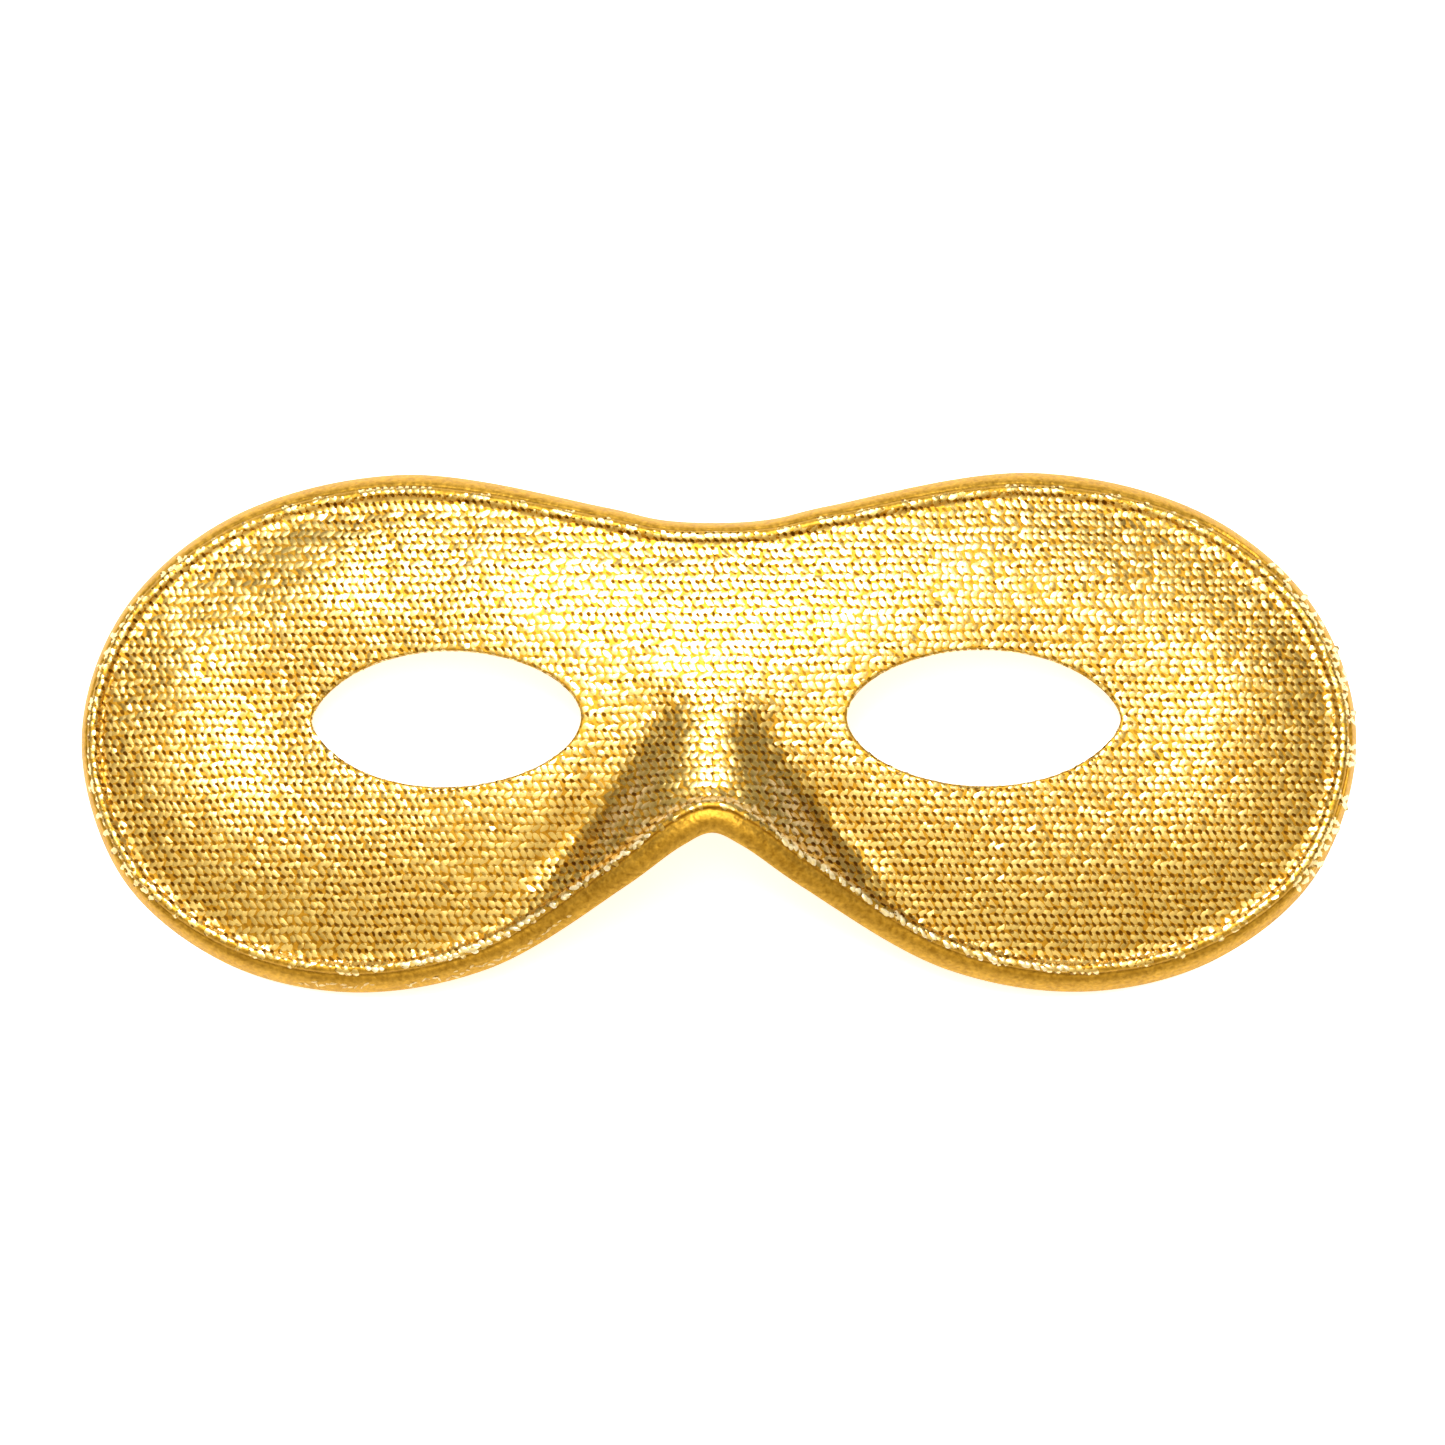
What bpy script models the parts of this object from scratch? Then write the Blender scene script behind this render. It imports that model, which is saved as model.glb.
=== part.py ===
"""Costume eye mask: a moulded half mask in gold knit with a corded rim, lying face up.

Metres. +X is to the right of someone who looks at the face, +Y to the brow, +Z out of the face.
The origin lies under the middle of the mask, on the surface that the mask rests on.
"""

import math
from collections import namedtuple

import bmesh
import bpy
from mathutils import Vector

COLLECTION = "costume_eye_mask"

# Overall size
MASK_WIDTH = 0.180
MASK_HEIGHT = 0.0731

# Eye holes
EYE_SPACING = 0.0753
EYE_LENGTH = 0.0382
EYE_HEIGHT = 0.0191
EYE_RISE = 0.0015
EYE_INNER_POINT = 1.08
EYE_OUTER_POINT = 1.22

# Form of the face: how far its middle stands forward, its crown above the rim, and the nose
BOW_DEPTH = 0.008
BOW_HALF_SPAN = 0.076
CROWN_DEPTH = 0.0038
CROWN_REACH = 0.019
NOSE_DEPTH = 0.0112

# Walls, the corded rim and the clearance between the two pieces
SHELL_WALL = 0.0015
RIM_DEPTH = 0.0036
BEAD_RADIUS = 0.0008
SKIRT_REACH = 0.0034
FOOT_WIDTH = 0.0012
GROOVE_DEPTH = 0.0009
PIECE_GAP = 0.0003

# Fineness of the meshes
RIM_STATIONS = 80
MIDPLANE_STEPS = 12
SHELL_RINGS = 10
CURVE_STEPS = 16
BEAD_STEPS = 6
TURN_WEIGHT = 0.012
SMOOTH_ANGLE = math.radians(38)
MERGE_DISTANCE = 0.0001

# Half of the front outline, from the dip of the brow round the temple to the nose notch.
# across and up are shares of half the width and height; skirt is a share of SKIRT_REACH.
OutlineRow = namedtuple("OutlineRow", "across up skirt")
OUTLINE = [
    OutlineRow(across=0.000, up=0.799, skirt=0.42),
    OutlineRow(across=0.085, up=0.812, skirt=0.45),
    OutlineRow(across=0.170, up=0.861, skirt=0.48),
    OutlineRow(across=0.500, up=1.000, skirt=0.58),
    OutlineRow(across=0.770, up=0.838, skirt=0.50),
    OutlineRow(across=0.938, up=0.472, skirt=0.38),
    OutlineRow(across=1.000, up=-0.020, skirt=0.34),
    OutlineRow(across=0.936, up=-0.545, skirt=0.44),
    OutlineRow(across=0.780, up=-0.868, skirt=0.62),
    OutlineRow(across=0.580, up=-0.993, skirt=0.72),
    OutlineRow(across=0.360, up=-0.911, skirt=0.78),
    OutlineRow(across=0.134, up=-0.600, skirt=0.92),
    OutlineRow(across=0.045, up=-0.452, skirt=1.00),
    OutlineRow(across=0.000, up=-0.405, skirt=1.00),
]

# The nose, from its root between the eyes down past the notch.
# up is a share of half the height, rise of NOSE_DEPTH, and spread of half the width.
NoseRow = namedtuple("NoseRow", "up rise spread")
NOSE = [
    NoseRow(up=0.50, rise=0.00, spread=0.120),
    NoseRow(up=0.20, rise=0.05, spread=0.145),
    NoseRow(up=-0.08, rise=0.47, spread=0.190),
    NoseRow(up=-0.39, rise=1.03, spread=0.250),
    NoseRow(up=-0.62, rise=1.12, spread=0.320),
    NoseRow(up=-1.00, rise=1.15, spread=0.360),
]

# Bends in the rim's section between its foot and its bead: one on the inner wall, two on the skirt.
# inset is a share of the skirt's reach and lift of the height of the bead's middle.
BendRow = namedtuple("BendRow", "inset lift")
INNER_BEND = BendRow(inset=0.45, lift=0.42)
SKIRT_BENDS = [BendRow(inset=0.66, lift=0.84), BendRow(inset=0.20, lift=0.42)]
BEAD_START = math.radians(-50)
BEAD_END = math.radians(165)

Finish = namedtuple("Finish", "name colour metallic roughness")
LAME = Finish("gold_lame", (0.76, 0.53, 0.17, 1.0), 0.85, 0.34)
HEM = Finish("gold_hem", (0.66, 0.42, 0.11, 1.0), 0.75, 0.42)

Station = namedtuple("Station", "place inward reach")


def curve_point(guides, share):
    """Point at a share of the way between the two middle guides of a smooth curve."""
    before, start, end, after = guides
    knots = [0.0]
    for first, second in zip(guides, guides[1:]):
        knots.append(knots[-1] + math.sqrt((second - first).length))
    at = knots[1] + share * (knots[2] - knots[1])

    def mix(first, second, low, high):
        return first + (second - first) * ((at - low) / (high - low))

    early = mix(before, start, knots[0], knots[1])
    middle = mix(start, end, knots[1], knots[2])
    late = mix(end, after, knots[2], knots[3])
    left = mix(early, middle, knots[0], knots[2])
    right = mix(middle, late, knots[1], knots[3])
    return mix(left, right, knots[1], knots[2])


def mirrored(point):
    """The same point on the other side of the mask's middle plane."""
    return Vector((-point.x, point.y, point.z))


def fine_outline():
    """Fine points (x, y, skirt reach) of the half outline, scaled to the exact width and height."""
    half_width, half_height = MASK_WIDTH / 2, MASK_HEIGHT / 2
    rows = []
    for row in OUTLINE:
        rows.append(Vector((row.across * half_width, row.up * half_height, row.skirt * SKIRT_REACH)))
    guides = [mirrored(rows[1])] + rows + [mirrored(rows[-2])]
    points = []
    for index in range(len(rows) - 1):
        for step in range(CURVE_STEPS):
            points.append(curve_point(guides[index:index + 4], step / CURVE_STEPS))
    points.append(rows[-1])
    widest = max(point.x for point in points)
    top, bottom = max(point.y for point in points), min(point.y for point in points)
    for point in points:
        point.x *= half_width / widest
        point.y = ((point.y - bottom) / (top - bottom) * 2 - 1) * half_height
    return points


def outline_stations():
    """Stations along the half outline, closer together where it turns, with their inward directions."""
    fine = fine_outline()
    around = [mirrored(fine[1])] + fine + [mirrored(fine[-2])]
    inward, measure = [], [0.0]
    for index in range(len(fine)):
        along = (around[index + 2] - around[index]).to_2d().normalized()
        inward.append(Vector((along.y, -along.x)))
    for index in range(len(fine) - 1):
        length = (fine[index + 1] - fine[index]).to_2d().length
        turn = inward[index].angle(inward[index + 1])
        measure.append(measure[-1] + length + TURN_WEIGHT * turn)

    stations, index = [], 0
    for number in range(RIM_STATIONS + 1):
        target = measure[-1] * number / RIM_STATIONS
        while index < len(fine) - 2 and measure[index + 1] < target:
            index += 1
        share = (target - measure[index]) / (measure[index + 1] - measure[index])
        place = fine[index].lerp(fine[index + 1], share)
        direction = inward[index].lerp(inward[index + 1], share).normalized()
        stations.append(Station(place.to_2d(), direction, place.z))
    return stations


def nose_row(up):
    """Rise and spread of the nose at a share of half the height, smooth through the rows of NOSE."""
    up = min(max(up, NOSE[-1].up), NOSE[0].up)
    index = next(number for number in range(len(NOSE) - 1) if up >= NOSE[number + 1].up)
    first, second = NOSE[index], NOSE[index + 1]
    before, after = NOSE[max(index - 1, 0)], NOSE[min(index + 2, len(NOSE) - 1)]
    length = second.up - first.up
    share = (up - first.up) / length

    def blend(column):
        values = [getattr(row, column) for row in (before, first, second, after)]
        slope_in = (values[2] - values[0]) / (second.up - before.up) * length
        slope_out = (values[3] - values[1]) / (after.up - first.up) * length
        return (
            values[1] * (1 + 2 * share) * (1 - share) ** 2
            + slope_in * share * (1 - share) ** 2
            + values[2] * share ** 2 * (3 - 2 * share)
            + slope_out * share ** 2 * (share - 1)
        )

    return blend("rise"), blend("spread")


def bed_height(place):
    """Height of the rim's foot at a place: the bow of the whole mask plus the nose."""
    bow = 0.0
    if abs(place.x) < BOW_HALF_SPAN:
        bow = BOW_DEPTH * math.cos(math.pi / 2 * place.x / BOW_HALF_SPAN) ** 2
    rise, spread = nose_row(place.y / (MASK_HEIGHT / 2))
    off_ridge = min(abs(place.x) / (spread * MASK_WIDTH / 2), 1.0)
    return bow + NOSE_DEPTH * rise * (1 + math.cos(math.pi * off_ridge)) / 2


def edge_inset(reach):
    """How far inside the outline the shell's edge lies, past the skirt, the bead and the gap."""
    return reach + 2 * BEAD_RADIUS + PIECE_GAP


def shell_height(place, edge):
    """Height of the shell's front: bed, rim and a crown that grows away from the shell's own edge."""
    distance = min((place - point).length for point in edge)
    crown = CROWN_DEPTH * math.sin(math.pi / 2 * min(distance / CROWN_REACH, 1.0))
    return bed_height(place) + RIM_DEPTH - GROOVE_DEPTH + crown


def eye_point(place):
    """Point on the eye hole's edge that faces a place, on an ellipse that is drawn out at its corners."""
    half_length, half_height = EYE_LENGTH / 2, EYE_HEIGHT / 2
    off_x, off_y = place.x - EYE_SPACING / 2, place.y - EYE_RISE
    turn = math.atan2(half_length * off_y, half_height * off_x)
    outer = (1 + math.cos(turn)) / 2
    power = EYE_INNER_POINT + (EYE_OUTER_POINT - EYE_INNER_POINT) * outer
    lift = math.copysign(abs(math.sin(turn)) ** power, math.sin(turn))
    return Vector((EYE_SPACING / 2 + half_length * math.cos(turn), EYE_RISE + half_height * lift))


def rim_section(reach):
    """Closed section of the rim as (inset, height) pairs: flat foot, inner wall, bead and skirt."""
    bead_inset, bead_height = reach + BEAD_RADIUS, RIM_DEPTH - BEAD_RADIUS
    section = [(0.0, 0.0), (FOOT_WIDTH, 0.0)]
    section.append((FOOT_WIDTH + INNER_BEND.inset * reach, INNER_BEND.lift * bead_height))
    for step in range(BEAD_STEPS + 1):
        angle = BEAD_START + (BEAD_END - BEAD_START) * step / BEAD_STEPS
        inset = bead_inset + BEAD_RADIUS * math.cos(angle)
        section.append((inset, bead_height + BEAD_RADIUS * math.sin(angle)))
    for bend in SKIRT_BENDS:
        section.append((bend.inset * reach, bend.lift * bead_height))
    return section


def mesh_from_rings(name, rings, close_rings):
    """Mesh object lofted through rings of points that all have the same count."""
    shape = bmesh.new()
    rows = [[shape.verts.new(point) for point in ring] for ring in rings]
    count = len(rows[0])
    for near, far in zip(rows, rows[1:]):
        for index in range(count if close_rings else count - 1):
            after = (index + 1) % count
            shape.faces.new((near[index], far[index], far[after], near[after]))
    mesh = bpy.data.meshes.new(name)
    shape.to_mesh(mesh)
    shape.free()
    mesh.shade_smooth()
    mesh.set_sharp_from_angle(angle=SMOOTH_ANGLE)
    return bpy.data.objects.new(name, mesh)


def add_mirror(piece):
    """Complete a half piece across the mask's middle plane."""
    mirror = piece.modifiers.new("other_half", "MIRROR")
    mirror.use_axis = (True, False, False)
    mirror.use_clip = True
    mirror.use_mirror_merge = True
    mirror.merge_threshold = MERGE_DISTANCE


def add_finish(piece, finish):
    """Give a piece its own material."""
    material = bpy.data.materials.new(finish.name)
    material.use_nodes = True
    shader = material.node_tree.nodes["Principled BSDF"]
    shader.inputs["Base Color"].default_value = finish.colour
    shader.inputs["Metallic"].default_value = finish.metallic
    shader.inputs["Roughness"].default_value = finish.roughness
    piece.data.materials.append(material)


def make_rim(stations):
    """The corded rim: one section carried round the outline, lifted with the mask's bow and nose."""
    rings = []
    for station in stations:
        ring = []
        for inset, height in rim_section(station.reach):
            place = station.place + station.inward * inset
            ring.append((place.x, place.y, bed_height(place) + height))
        rings.append(ring)
    rim = mesh_from_rings("rim_roll", rings, close_rings=True)
    add_mirror(rim)
    add_finish(rim, HEM)
    return rim


def make_shell(stations):
    """The moulded front: rings from the rim's groove, and down the middle plane, in to the eye hole."""
    edge = [station.place + station.inward * edge_inset(station.reach) for station in stations]
    top, bottom = edge[0], edge[-1]
    middle = [bottom.lerp(top, step / MIDPLANE_STEPS) for step in range(1, MIDPLANE_STEPS)]
    loop = edge + middle
    crown_edge = edge + [Vector((-point.x, point.y)) for point in edge[1:-1]]
    rings = []
    for number in range(SHELL_RINGS + 1):
        even = number / SHELL_RINGS
        share = (even + (1 - math.cos(math.pi * even)) / 2) / 2
        ring = []
        for outer in loop:
            place = outer.lerp(eye_point(outer), share)
            ring.append((place.x, place.y, shell_height(place, crown_edge)))
        rings.append(ring)
    shell = mesh_from_rings("face_shell", rings, close_rings=True)
    add_mirror(shell)
    wall = shell.modifiers.new("wall", "SOLIDIFY")
    wall.thickness = SHELL_WALL
    wall.offset = -1.0
    wall.use_even_offset = True
    add_finish(shell, LAME)
    return shell


def main():
    """Clear the scene and model the mask."""
    for item in list(bpy.data.objects):
        bpy.data.objects.remove(item, do_unlink=True)
    collection = bpy.data.collections.new(COLLECTION)
    bpy.context.scene.collection.children.link(collection)
    stations = outline_stations()
    for piece in (make_shell(stations), make_rim(stations)):
        collection.objects.link(piece)


main()
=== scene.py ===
"""Looks of a costume eye mask: gold metallic jersey pulled over a moulded half mask with a corded rim.

Metres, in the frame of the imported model: +X is to the right of someone who looks at the face, +Y to
the brow and +Z out of the face. The mask lies face up on a pale floor.
"""

import logging
import math
from dataclasses import dataclass
from enum import Enum
from typing import Any

import bmesh
import bpy
import numpy as np
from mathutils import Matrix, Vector
from mathutils.kdtree import KDTree


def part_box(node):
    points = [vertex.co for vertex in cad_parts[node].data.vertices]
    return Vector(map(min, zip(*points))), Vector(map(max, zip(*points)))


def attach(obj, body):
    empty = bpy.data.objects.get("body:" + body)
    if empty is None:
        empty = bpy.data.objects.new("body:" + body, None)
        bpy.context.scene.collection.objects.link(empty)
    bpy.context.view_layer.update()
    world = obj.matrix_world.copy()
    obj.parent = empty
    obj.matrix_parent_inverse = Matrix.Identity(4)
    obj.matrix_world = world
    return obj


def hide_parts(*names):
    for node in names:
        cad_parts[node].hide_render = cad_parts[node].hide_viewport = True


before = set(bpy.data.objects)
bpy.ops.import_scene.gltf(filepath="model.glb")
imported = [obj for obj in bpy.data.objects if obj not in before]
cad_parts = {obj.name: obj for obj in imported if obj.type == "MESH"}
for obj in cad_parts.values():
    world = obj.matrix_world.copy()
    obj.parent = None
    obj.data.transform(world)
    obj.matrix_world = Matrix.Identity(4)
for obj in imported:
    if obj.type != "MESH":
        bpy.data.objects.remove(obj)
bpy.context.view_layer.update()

LOG = logging.getLogger("eye_mask")
BODY = "root"
MM = 0.001
LEAST = 1e-6  # keeps a length from being zero where it is divided by
LOOPS = "knit_loops"

# Openings of the knit, which the shaders paint dark as the shade inside them: size of a stitch in
# millimetres, and how an opening's strength falls off from its middle, for each square millimetre.
WALE_MM = 2.33
COURSE_MM = 1.09
HOLE_PEAK = 2.2
HOLE_FALL = 14.0
HOLE_NARROWING = 1.5

# Noise that moves the openings a little, and noise by which whole patches of them are weak or strong.
UNREST_GRAIN = 620.0
PATCH_GRAIN = 42.0
PATCH_GAIN = 2.4
PATCH_FLOOR = 1.45

Array = np.ndarray


@dataclass(frozen=True)
class OutlineRow:
    """One point of the half outline, as shares of half the width and height and of the skirt's reach."""

    across: float
    up: float
    skirt: float


@dataclass(frozen=True)
class NoseRow:
    """The nose at one height: rise as a share of its depth, spread as a share of half the width."""

    up: float
    rise: float
    spread: float


OUTLINE = (
    OutlineRow(across=0.000, up=0.799, skirt=0.42),
    OutlineRow(across=0.085, up=0.812, skirt=0.45),
    OutlineRow(across=0.170, up=0.861, skirt=0.48),
    OutlineRow(across=0.500, up=1.000, skirt=0.58),
    OutlineRow(across=0.770, up=0.838, skirt=0.50),
    OutlineRow(across=0.938, up=0.472, skirt=0.38),
    OutlineRow(across=1.000, up=-0.020, skirt=0.34),
    OutlineRow(across=0.936, up=-0.545, skirt=0.44),
    OutlineRow(across=0.780, up=-0.868, skirt=0.62),
    OutlineRow(across=0.580, up=-0.993, skirt=0.72),
    OutlineRow(across=0.360, up=-0.911, skirt=0.78),
    OutlineRow(across=0.134, up=-0.600, skirt=0.92),
    OutlineRow(across=0.045, up=-0.452, skirt=1.00),
    OutlineRow(across=0.000, up=-0.405, skirt=1.00),
)

NOSE = (
    NoseRow(up=0.50, rise=0.00, spread=0.120),
    NoseRow(up=0.20, rise=0.05, spread=0.145),
    NoseRow(up=-0.08, rise=0.47, spread=0.190),
    NoseRow(up=-0.39, rise=1.03, spread=0.250),
    NoseRow(up=-0.62, rise=1.12, spread=0.320),
    NoseRow(up=-1.00, rise=1.15, spread=0.360),
)


@dataclass(frozen=True)
class Hollow:
    """A soft valley pressed into the moulded front, in millimetres; a negative depth is a swelling."""

    start: tuple[float, float]
    end: tuple[float, float]
    reach: float
    depth: float

    def at(self, x: Array, y: Array) -> Array:
        """Work out how deep the valley is.

        Args:
            x: Places across, in metres.
            y: Places up, in metres.

        Returns:
            The depth at each place, in metres.
        """
        (from_x, from_y), (to_x, to_y) = self.start, self.end
        line_x, line_y = (to_x - from_x) * MM, (to_y - from_y) * MM
        off_x, off_y = x - from_x * MM, y - from_y * MM
        square = max(line_x ** 2 + line_y ** 2, LEAST ** 2)
        share = np.clip((off_x * line_x + off_y * line_y) / square, 0.0, 1.0)
        away = np.hypot(off_x - share * line_x, off_y - share * line_y)
        return self.depth * MM * np.exp(-0.5 * (away / (self.reach * MM)) ** 2)


HOLLOWS = (
    Hollow(start=(-8.0, 1.0), end=(-21.5, -20.0), reach=2.7, depth=0.95),
    Hollow(start=(7.5, -1.0), end=(18.0, -20.0), reach=2.7, depth=1.05),
    Hollow(start=(-18.5, -14.0), end=(-22.0, -22.0), reach=2.6, depth=0.45),
    Hollow(start=(15.5, -12.0), end=(19.5, -22.0), reach=2.6, depth=0.75),
    Hollow(start=(-66.0, 6.0), end=(-66.0, 6.0), reach=9.0, depth=1.50),
    Hollow(start=(-72.0, 8.0), end=(-56.0, 20.0), reach=6.0, depth=-1.10),
    Hollow(start=(56.0, 18.0), end=(72.0, 7.0), reach=6.0, depth=-0.50),
    Hollow(start=(-50.0, -8.0), end=(-28.0, -9.5), reach=6.0, depth=-0.55),
    Hollow(start=(28.0, -9.5), end=(50.0, -8.0), reach=6.0, depth=-0.45),
    Hollow(start=(63.0, 8.0), end=(60.0, 14.0), reach=8.0, depth=0.45),
    Hollow(start=(-28.0, 25.0), end=(-36.0, 14.0), reach=4.5, depth=-0.30),
)

GROOVE_CREASES = (
    Hollow(start=(-87.5, 6.0), end=(-87.5, -6.0), reach=4.0, depth=0.35),
    Hollow(start=(-22.0, -21.0), end=(-14.0, -16.0), reach=3.0, depth=0.30),
    Hollow(start=(20.0, -24.0), end=(30.0, -30.0), reach=3.0, depth=0.25),
)

SKIRT_CREASE = Hollow(start=(72.0, 25.5), end=(88.5, -8.0), reach=4.0, depth=0.50)


class Swell:
    """Smooth, repeatable unevenness over a plane: a sum of waves that run in many directions."""

    # Lowest and highest wave number, as shares of the one that gives the typical distance.
    numbers: tuple[float, float] = (0.55, 1.5)

    def __init__(self, seed: int, length: float, waves: int = 11) -> None:
        """Choose the waves.

        Args:
            seed: Number that fixes the pattern.
            length: Typical distance from crest to crest, in metres.
            waves: How many waves are added up.
        """
        random = np.random.RandomState(seed)
        turn = random.uniform(0.0, math.tau, waves)
        number = math.tau / length * random.uniform(*self.numbers, waves)
        self.across = number * np.cos(turn)
        self.up = number * np.sin(turn)
        self.phase = random.uniform(0.0, math.tau, waves)

    def at(self, x: Array, y: Array) -> Array:
        """Add up the waves.

        Args:
            x: Places across, in metres.
            y: Places up, in metres.

        Returns:
            The unevenness at each place, mostly between -1 and 1.
        """
        total = np.zeros(np.shape(x))
        for across, up, phase in zip(self.across, self.up, self.phase):
            total += np.sin(across * x + up * y + phase)
        return total / math.sqrt(len(self.phase))


def smooth_step(low: float, high: float, value: Array) -> Array:
    """Rise smoothly from 0 at low to 1 at high."""
    share = np.clip((value - low) / (high - low), 0.0, 1.0)
    return share * share * (3.0 - 2.0 * share)


@dataclass
class MaskForm:
    """Outer form of the moulded mask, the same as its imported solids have."""

    half_width: float
    half_height: float
    eye_offset: float = 37.65 * MM
    eye_rise: float = 1.5 * MM
    eye_half_length: float = 19.1 * MM
    eye_half_height: float = 9.55 * MM
    eye_inner_point: float = 1.08
    eye_outer_point: float = 1.22
    bow_depth: float = 8.0 * MM
    bow_half_span: float = 76.0 * MM
    crown_depth: float = 3.8 * MM
    crown_reach: float = 19.0 * MM
    nose_depth: float = 11.2 * MM
    wall: float = 1.5 * MM
    rim_depth: float = 3.6 * MM
    bead_radius: float = 0.8 * MM
    skirt_reach: float = 3.4 * MM
    foot_width: float = 1.2 * MM
    groove_depth: float = 0.9 * MM
    skirt_hollow: float = 2.1
    curve_steps: int = 40
    stations: int = 1100
    eye_stations: int = 720

    def __post_init__(self) -> None:
        """Work out the half outline, and the trees that find the nearest place on the two edges."""
        self.place, self.inward, self.reach, self.along = self._half_outline()
        eye_turn = np.linspace(0.0, math.tau, self.eye_stations, endpoint=False)
        self.tree = self._tree(self.place)
        self.eye_tree = self._tree(np.stack(self.eye_edge(eye_turn), axis=1))

    @staticmethod
    def _tree(places: Array) -> KDTree:
        """Make the tree that finds the nearest of some flat places.

        Args:
            places: The places, one row each.

        Returns:
            The balanced tree.
        """
        tree = KDTree(len(places))
        for index, (x, y) in enumerate(places):
            tree.insert((x, y, 0.0), index)
        tree.balance()
        return tree

    @property
    def bead_height(self) -> float:
        """Height of the bead's middle above the rim's foot."""
        return self.rim_depth - self.bead_radius

    def _half_outline(self) -> tuple[Array, Array, Array, Array]:
        """Even stations along the half outline.

        Returns:
            Places, inward directions, skirt reaches and lengths from the brow, by station.
        """
        scale = np.array([self.half_width, self.half_height, self.skirt_reach])
        rows = np.array([[row.across, row.up, row.skirt] for row in OUTLINE]) * scale
        flip = np.array([-1.0, 1.0, 1.0])
        guides = np.vstack([rows[1] * flip, rows, rows[-2] * flip])
        shares = np.arange(self.curve_steps) / self.curve_steps
        spans = [self._curve(guides[index:index + 4], shares) for index in range(len(rows) - 1)]
        fine = np.vstack(spans + [rows[-1:]])
        fine[:, 0] *= self.half_width / fine[:, 0].max()
        low, high = fine[:, 1].min(), fine[:, 1].max()
        fine[:, 1] = ((fine[:, 1] - low) / (high - low) * 2.0 - 1.0) * self.half_height
        steps = np.hypot(*np.diff(fine[:, :2], axis=0).T)
        measure = np.concatenate([[0.0], np.cumsum(steps)])
        along = np.linspace(0.0, measure[-1], self.stations)
        even = np.stack([np.interp(along, measure, fine[:, column]) for column in range(3)], axis=1)
        around = np.vstack([even[1] * flip, even, even[-2] * flip])[:, :2]
        tangent = around[2:] - around[:-2]
        tangent /= np.linalg.norm(tangent, axis=1, keepdims=True)
        inward = np.stack([tangent[:, 1], -tangent[:, 0]], axis=1)
        return even[:, :2], inward, even[:, 2], along

    @staticmethod
    def _curve(guides: Array, shares: Array) -> Array:
        """Smooth curve between the two middle ones of four guides.

        Args:
            guides: The four guides, one row each.
            shares: Shares of the way from the second guide to the third.

        Returns:
            One point for each share.
        """
        lengths = np.sqrt(np.linalg.norm(np.diff(guides, axis=0), axis=1))
        knots = np.concatenate([[0.0], np.cumsum(lengths)])
        at = (knots[1] + shares * (knots[2] - knots[1]))[:, None]

        def mix(first: Array, second: Array, low: float, high: float) -> Array:
            """Straight blend of two points for a stretch of the knots."""
            return first + (second - first) * ((at - low) / (high - low))

        early = mix(guides[0], guides[1], knots[0], knots[1])
        middle = mix(guides[1], guides[2], knots[1], knots[2])
        late = mix(guides[2], guides[3], knots[2], knots[3])
        left = mix(early, middle, knots[0], knots[2])
        right = mix(middle, late, knots[1], knots[3])
        return mix(left, right, knots[1], knots[2])

    def around(self, at: Array) -> tuple[Array, Array, Array]:
        """Stations round the whole outline.

        Args:
            at: Lengths along the outline, from the middle of the brow.

        Returns:
            Places, inward directions and skirt reaches, by station.
        """
        total = self.along[-1]
        right = at <= total
        near = np.where(right, at, 2 * total - at)
        flip = np.stack([np.where(right, 1.0, -1.0), np.ones(len(at))], axis=1)
        place, inward = (
            np.stack([np.interp(near, self.along, half[:, axis]) for axis in range(2)], axis=1) * flip
            for half in (self.place, self.inward)
        )
        return place, inward, np.interp(near, self.along, self.reach)

    def eye_edge(self, turn: Array) -> tuple[Array, Array]:
        """Points of the right eye hole's edge.

        Args:
            turn: Angles round the hole's middle, from its outer corner.

        Returns:
            Places across and places up.
        """
        outer = (1.0 + np.cos(turn)) / 2.0
        power = self.eye_inner_point + (self.eye_outer_point - self.eye_inner_point) * outer
        lift = np.sign(np.sin(turn)) * np.abs(np.sin(turn)) ** power
        x = self.eye_offset + self.eye_half_length * np.cos(turn)
        return x, self.eye_rise + self.eye_half_height * lift

    def eye_point(self, x: Array, y: Array) -> tuple[Array, Array]:
        """Points on the right eye hole's edge that face the places (x, y)."""
        off_x, off_y = x - self.eye_offset, y - self.eye_rise
        return self.eye_edge(np.arctan2(self.eye_half_length * off_y, self.eye_half_height * off_x))

    def nose(self, x: Array, y: Array) -> Array:
        """Work out how far the nose stands up.

        Args:
            x: Places across.
            y: Places up.

        Returns:
            The nose's height at each place.
        """
        up = np.clip(y / self.half_height, NOSE[-1].up, NOSE[0].up)
        ups = np.array([row.up for row in NOSE])
        index = np.clip(np.searchsorted(-ups, -up, side="right") - 1, 0, len(NOSE) - 2)
        before, after = np.maximum(index - 1, 0), np.minimum(index + 2, len(NOSE) - 1)
        length = ups[index + 1] - ups[index]
        share = (up - ups[index]) / length

        def blend(values: Array) -> Array:
            """Smooth value between the rows of the table, of which one column is given."""
            slope_in = (values[index + 1] - values[before]) / (ups[index + 1] - ups[before]) * length
            slope_out = (values[after] - values[index]) / (ups[after] - ups[index]) * length
            return (
                values[index] * (1 + 2 * share) * (1 - share) ** 2
                + slope_in * share * (1 - share) ** 2
                + values[index + 1] * share ** 2 * (3 - 2 * share)
                + slope_out * share ** 2 * (share - 1)
            )

        rise = blend(np.array([row.rise for row in NOSE]))
        spread = blend(np.array([row.spread for row in NOSE]))
        off_ridge = np.minimum(np.abs(x) / (spread * self.half_width), 1.0)
        return self.nose_depth * rise * (1 + np.cos(math.pi * off_ridge)) / 2

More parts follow.
